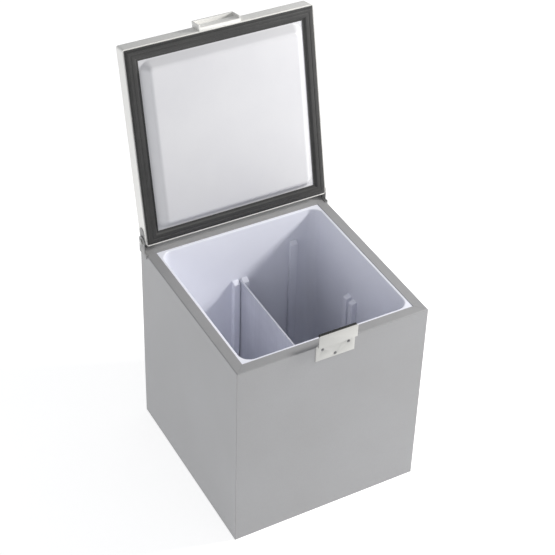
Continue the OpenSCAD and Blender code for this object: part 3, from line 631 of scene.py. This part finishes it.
# %% Read the liner's sizes off the frame
liner_low, liner_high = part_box("liner")
bay_low, bay_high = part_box("machine_bay")
divider_low, divider_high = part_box("divider")
wall = 2.5 * mm
lip_reach = 17 * mm
step_foam = 24 * mm
corner_radius = 28 * mm
rim_height = liner_high.z
floor_height = liner_low.z + wall
hollow_low = Vector((liner_low.x + lip_reach, liner_low.y + lip_reach, floor_height))
hollow_high = Vector((liner_high.x - lip_reach, liner_high.y - lip_reach, rim_height + 10 * mm))
step_gap = step_foam + wall
step_corner = Vector((bay_low.x - step_gap, bay_high.y + step_gap, bay_high.z + step_gap))
print("inside width", round(hollow_high.x - hollow_low.x, 3), "depth", round(hollow_high.y - hollow_low.y, 3))


# %% A block with round upright corners and a step taken out
def stepped_block(name, low, high, radius, step):
    low, high = Vector(low), Vector(high)
    piece = block(name, low, high)
    round_edges(piece, lambda edge: along(edge, 2), radius, 10)
    beyond = 50 * mm
    tool = block("step", (step.x, low.y - beyond, low.z - beyond), (high.x + beyond, step.y, step.z))
    combine(piece, tool, "DIFFERENCE")
    return piece


hollow = stepped_block("hollow", hollow_low, hollow_high, corner_radius, step_corner)
soften_floor = 7 * mm
apply_modifier(hollow, "BEVEL", width=soften_floor, segments=4, limit_method="ANGLE",
               angle_limit=math.radians(50), use_clamp_overlap=False)
print("hollow faces", len(hollow.data.polygons))


# %% Guide rails on the four walls
rail_width = 17 * mm
rail_depth = 14 * mm
rail_slope = 11 * mm
rail_root = 12 * mm
slot_width = divider_high.x - divider_low.x + 3 * mm
rail_top = rim_height + 1.2 * mm - 148 * mm


def rail(low, high, inner_axis, inner_side):
    """An upright rib whose top slopes down towards the middle of the freezer."""
    piece = block("rail", low, high)
    edge_place = high[inner_axis] if inner_side > 0 else low[inner_axis]
    pick(piece, "verts", lambda v: near(v.co.z, high.z) and near(v.co[inner_axis], edge_place))
    bpy.ops.transform.translate(value=(0, 0, -rail_slope))
    done()
    apply_modifier(piece, "BEVEL", width=1.6 * mm, segments=3, limit_method="ANGLE",
                   angle_limit=math.radians(20))
    return piece


def rail_pair(axis, wall_place, inward, centre):
    """Two rails beside each other on a wall that faces along an axis, 0 or 1."""
    for side in (-1, 1):
        start = centre + side * (slot_width + rail_width) / 2 - rail_width / 2
        across = sorted((wall_place - inward * rail_root, wall_place + inward * rail_depth))
        low = Vector((0, 0, floor_height - rail_root))
        high = Vector((0, 0, rail_top))
        low[axis], high[axis] = across
        low[1 - axis], high[1 - axis] = start, start + rail_width
        combine(hollow, rail(low, high, axis, inward), "DIFFERENCE")


side_rail_place = 20 * mm
rail_pair(1, hollow_high.y, -1, 0.0)
rail_pair(1, hollow_low.y, 1, 0.0)
rail_pair(0, hollow_high.x, -1, side_rail_place)
rail_pair(0, hollow_low.x, 1, side_rail_place)
print("hollow with rails:", len(hollow.data.polygons), "faces")

# %% Cut the hollow out of the shell and round its lip
grown = Vector((wall, wall, wall))
shell_step = step_corner + Vector((wall, -wall, -wall))
liner_tub = stepped_block("liner_tub", hollow_low - grown,
                          (hollow_high.x + wall, hollow_high.y + wall, rim_height - 1 * mm),
                          corner_radius + wall, shell_step)
flange = block("flange", (liner_low.x, liner_low.y, rim_height - wall), liner_high)
round_edges(flange, lambda edge: along(edge, 2), corner_radius, 8)
combine(liner_tub, flange, "UNION")
combine(liner_tub, hollow, "DIFFERENCE")
lip_round = 3 * mm
lip_inside = lip_reach - 4 * mm


def is_mouth(edge):
    spot = middle(edge)
    inside_x = liner_low.x + lip_inside < spot.x < liner_high.x - lip_inside
    inside_y = liner_low.y + lip_inside < spot.y < liner_high.y - lip_inside
    return near(spot.z, rim_height) and inside_x and inside_y


mouth_edges = round_edges(liner_tub, is_mouth, lip_round, 4)
settle(liner_tub, liner_white, "liner", angle=35)
print("mouth edges rounded:", mouth_edges)

# %% [markdown]
# ## The divider and the probe cover
# The divider is a thin sheet with round corners that drops into the slots. The probe cover is a small
# channel that clips to the rear wall. Both are soft at every edge, as pieces meant for bare hands are.

# %% Divider
divider_sheet = block("divider_sheet", divider_low, divider_high)
divider_corner = 8 * mm
round_edges(divider_sheet, lambda edge: along(edge, 0), divider_corner, 6)
soften(divider_sheet, 1.4 * mm, steps=3, angle=50)
settle(divider_sheet, divider_white, "divider")

# %% Probe cover
probe_low, probe_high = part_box("probe_cover")
probe_channel = block("probe_channel", probe_low, probe_high)
probe_out = probe_high.y - probe_low.y
pick(probe_channel, "verts", lambda v: near(v.co.z, probe_high.z) and near(v.co.y, probe_low.y))
bpy.ops.transform.translate(value=(0, 0, -probe_out))
done()
channel_wall = 1.6 * mm
room = block("room", (probe_low.x + channel_wall, probe_low.y + channel_wall, probe_low.z - 5 * mm),
             (probe_high.x - channel_wall, probe_high.y + 5 * mm, probe_high.z - probe_out - 2 * mm))
combine(probe_channel, room, "DIFFERENCE")
soften(probe_channel, 0.7 * mm)
settle(probe_channel, liner_white, "probe_cover")

# %% [markdown]
# ## The lid
# The lid is a shallow pan of painted steel with a plastic tray clipped into it, and the seal's foot is
# held between the two. All three are modelled as if the lid were shut, where everything is square to
# the axes, and are then turned to the open rest position about the hinge.

# %% Where the closed lid lies
hinge = next(joint for joint in frame["joints"] if joint["name"] == "lid_hinge")
hinge_place = Vector(hinge["pos_m"])
open_angle = math.radians(max(hinge["range_deg"]))
swing = Matrix.Rotation(-open_angle, 4, "X")
to_open = Matrix.Translation(hinge_place) @ swing @ Matrix.Translation(-hinge_place)
to_closed = to_open.inverted()


def closed_box(node):
    """The box of one of the lid's nodes, as it is when the lid is shut."""
    corners = [to_closed @ vertex.co for vertex in nodes[node].data.vertices]
    low = Vector(min(corner[axis] for corner in corners) for axis in range(3))
    high = Vector(max(corner[axis] for corner in corners) for axis in range(3))
    return low, high


def turn_open(piece):
    focus(piece)
    piece.matrix_world = to_open
    bpy.ops.object.transform_apply(location=True, rotation=True, scale=True)


pan_low, pan_high = closed_box("lid_outer_pan")
print("closed lid from z", round(pan_low.z, 4), "to", round(pan_high.z, 4))

# %% [markdown]
# ### The pan
# A press folds the pan's four sides from one sheet, so the outer edges are rounded over, and the free
# edge is folded back under as a hem. The hem shows as a fine raised line all round the underside.

# %% Model the pan
pan_corner = 6 * mm
pan_fold = 3.2 * mm
# each step of the hem: how far it runs inwards and how much deeper it goes, in millimetres
hem_folds = [(0.4, 0.3), (1.2, 0), (0.3, 0.5), (0.8, 0), (0.2, 1.2), (2, 0)]
lid_pan = block("lid_pan", pan_low, pan_high)
round_edges(lid_pan, lambda edge: along(edge, 2), pan_corner, 6)
pick(lid_pan, "faces", lambda face: face.normal.z < -0.9)
for inwards, deeper in hem_folds:
    bpy.ops.mesh.inset(thickness=inwards * mm, depth=-deeper * mm)
done()
round_edges(lid_pan, lambda edge: near(middle(edge).z, pan_high.z), pan_fold, 5)
turn_open(lid_pan)
settle(lid_pan, lid_paint, "lid_outer_pan", angle=28)

# %% [markdown]
# ### The inner tray
# The tray's raised middle reaches down into the mouth when the lid shuts, and stiffens the lid. It is
# drawn from a sheet over a mould, so its sides slope, and every edge is round.

# %% Model the tray
tray_low, tray_high = closed_box("lid_inner_panel")
tray_height = 20 * mm
tray_base = tray_low.z + tray_height
plug_margin = 36 * mm
plug_slope = 17 * mm
plug_corner = 26 * mm
plug_edge = 6 * mm
plug = block("plug", (pan_low.x + plug_margin, pan_low.y + plug_margin, tray_low.z),
             (pan_high.x - plug_margin, pan_high.y - plug_margin, tray_base + mm))
round_edges(plug, lambda edge: along(edge, 2), plug_corner, 12)
pick(plug, "faces", lambda face: face.normal.z < -0.9)
bpy.ops.mesh.delete(type="FACE")
pick(plug, "edges", lambda edge: edge.is_boundary)
bpy.ops.transform.translate(value=(0, 0, tray_height))
bpy.ops.mesh.edge_face_add()
bpy.ops.mesh.inset(thickness=plug_slope, depth=tray_height)
done()
round_edges(plug, lambda edge: near(middle(edge).z, tray_low.z, mm), plug_edge, 5)
lid_tray = block("lid_tray", (tray_low.x, tray_low.y, tray_base), (tray_high.x, tray_high.y, tray_high.z))
combine(lid_tray, plug, "UNION")
soften(lid_tray, 2.2 * mm, steps=3, angle=30)
turn_open(lid_tray)
settle(lid_tray, tray_white, "lid_inner_panel", angle=35)

# %% [markdown]
# ### The seal
# The seal is a soft extrusion, mitred at the corners: a flat foot, a bulging outer bead, a shallow
# groove along the middle, and a thin inner lip that lies against the liner. Repeated insets of one flat
# face draw exactly such a mitred profile, one step inwards and up or down at a time.

# %% Model the seal
seal_low, seal_high = closed_box("lid_gasket")
# each step across the seal: how far inwards and how far down, in millimetres
profile = [(0.4, 1.4), (0.8, 0.4), (2.6, 0.2), (0.5, 1.4), (0.8, 1.6), (1.2, 0.8), (1.6, 0.2),
           (4.0, 0.0), (0.6, -0.8), (1.0, 0.0), (0.6, 0.8), (5.4, 0.0), (2.2, -0.3), (1.6, -1.0),
           (1.0, -1.5), (0.8, -1.0), (2.4, -0.2), (1.8, -0.1), (0.7, -0.7)]
bpy.ops.object.select_all(action="DESELECT")
bpy.ops.mesh.primitive_plane_add(size=1, location=((seal_low.x + seal_high.x) / 2,
                                                   (seal_low.y + seal_high.y) / 2, seal_high.z))
lid_seal = bpy.context.object
lid_seal.name = "lid_seal"
lid_seal.scale = (seal_high.x - seal_low.x, seal_high.y - seal_low.y, -1)
bpy.ops.object.transform_apply(location=True, rotation=True, scale=True)
pick(lid_seal, "faces", lambda face: True)
for inwards, down in profile:
    bpy.ops.mesh.inset(thickness=inwards * mm, depth=0)
    bpy.ops.transform.translate(value=(0, 0, -down * mm))
bpy.ops.mesh.delete(type="FACE")
done()
print("seal width", round(sum(step[0] for step in profile), 1), "mm")

# %% Close the seal's back and turn it open
pick(lid_seal, "edges", lambda edge: edge.is_boundary)
bpy.ops.mesh.bridge_edge_loops()
done()
soften(lid_seal, 0.25 * mm, steps=2, angle=25)
turn_open(lid_seal)
settle(lid_seal, seal_rubber, "lid_gasket", angle=40)

# %% [markdown]
# ## Latch, hinges and service cover
# These small parts have exact shapes in the frame, down to their holes, so a copy of each is taken and
# given what the real ones have and the frame's lack: edges broken by tumbling or by the mould. The
# copy's loose triangles are joined and its flat faces cleaned up first, so that the bevel meets clean
# edges.


# %% Copy a node and break its edges
def broken_edges(name, node, finish, radius, steps=2):
    bpy.ops.object.select_all(action="DESELECT")
    source = nodes[node]
    piece = source.copy()
    piece.data = source.data.copy()
    piece.parent = None
    for key in [key for key in piece.keys() if key.startswith("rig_")]:
        del piece[key]
    piece.name = name
    bpy.context.scene.collection.objects.link(piece)
    piece.hide_render = False
    piece.hide_viewport = False
    focus(piece)
    bpy.ops.object.mode_set(mode="EDIT")
    bpy.ops.mesh.select_all(action="SELECT")
    bpy.ops.mesh.remove_doubles(threshold=0.00002)
    bpy.ops.mesh.customdata_custom_splitnormals_clear()
    bpy.ops.mesh.dissolve_limited(angle_limit=math.radians(2))
    done()
    soften(piece, radius, steps, angle=40)
    settle(piece, finish, node)
    return piece


print("edge helper ready")

# %% Latch pieces
latch_break = 0.35 * mm
broken_edges("keeper_body", "keeper_plate", latch_paint, latch_break)
broken_edges("hasp_body", "latch_hasp", latch_paint, latch_break)
broken_edges("catch_channel", "lid_catch", lid_paint, latch_break)
broken_edges("hasp_rubber", "hasp_strip", strip_rubber, 1.2 * mm, steps=3)

# %% Hinge pieces
hinge_break = 0.4 * mm
broken_edges("bracket_left", "hinge_bracket_left", hinge_paint, hinge_break)
broken_edges("bracket_right", "hinge_bracket_right", hinge_paint, hinge_break)
broken_edges("hinge_straps", "hinge_arms", hinge_paint, 0.25 * mm)

# %% Service cover and knob
broken_edges("louvre_cover", "service_cover", cover_grey, 0.4 * mm)
broken_edges("control_knob", "thermostat_knob", knob_white, 0.4 * mm)

# %% [markdown]
# ## Stage and light
# The freezer stands on a plain pale floor in a bright, soft studio. The main light is a large panel
# high on the right and in front, so that the inside's right wall and the front's lower part fall into
# gentle shade. A weaker panel on the left and the bright surroundings fill the shadows.

# %% Floor
bpy.ops.object.select_all(action="DESELECT")
bpy.ops.mesh.primitive_plane_add(size=24, location=(0, 0, 0))
floor = bpy.context.object
floor.name = "floor"
floor_finish, floor_tree, floor_shader = start_material("floor_finish", Roughness=0.9,
                                                        Emission_Color=grey(1.0), Emission_Strength=0.66)
floor_tone = use_group(floor_tree, colour_drift, First=grey(0.70), Second=grey(0.72), Patch_Size=1.5)
floor_tree.links.new(floor_tone["Color"], floor_shader["Base Color"])
floor.data.materials.append(floor_finish)


# %% Lamps and surroundings
def panel_light(name, place, goal, width, power, colour):
    data = bpy.data.lights.new(name, "AREA")
    data.shape = "DISK"
    data.size = width
    data.energy = power
    data.color = colour
    lamp = bpy.data.objects.new(name, data)
    bpy.context.scene.collection.objects.link(lamp)
    lamp.location = place
    lamp.rotation_mode = "QUATERNION"
    lamp.rotation_quaternion = (Vector(goal) - Vector(place)).to_track_quat("-Z", "Y")
    return lamp


middle_of_freezer = (0, 0, 0.45)
panel_light("key", (1.9, -0.65, 1.78), middle_of_freezer, 0.48, 58, (1.0, 0.985, 0.96))
panel_light("fill", (-2.8, -0.8, 0.8), middle_of_freezer, 1.6, 12, (0.98, 0.99, 1.0))
world = bpy.data.worlds.new("studio")
world.use_nodes = True
world.node_tree.nodes["Background"].inputs["Color"].default_value = (0.97, 0.98, 1.0, 1)
world.node_tree.nodes["Background"].inputs["Strength"].default_value = 0.45
bpy.context.scene.world = world
bpy.context.scene.view_settings.view_transform = "Standard"
print("lit")
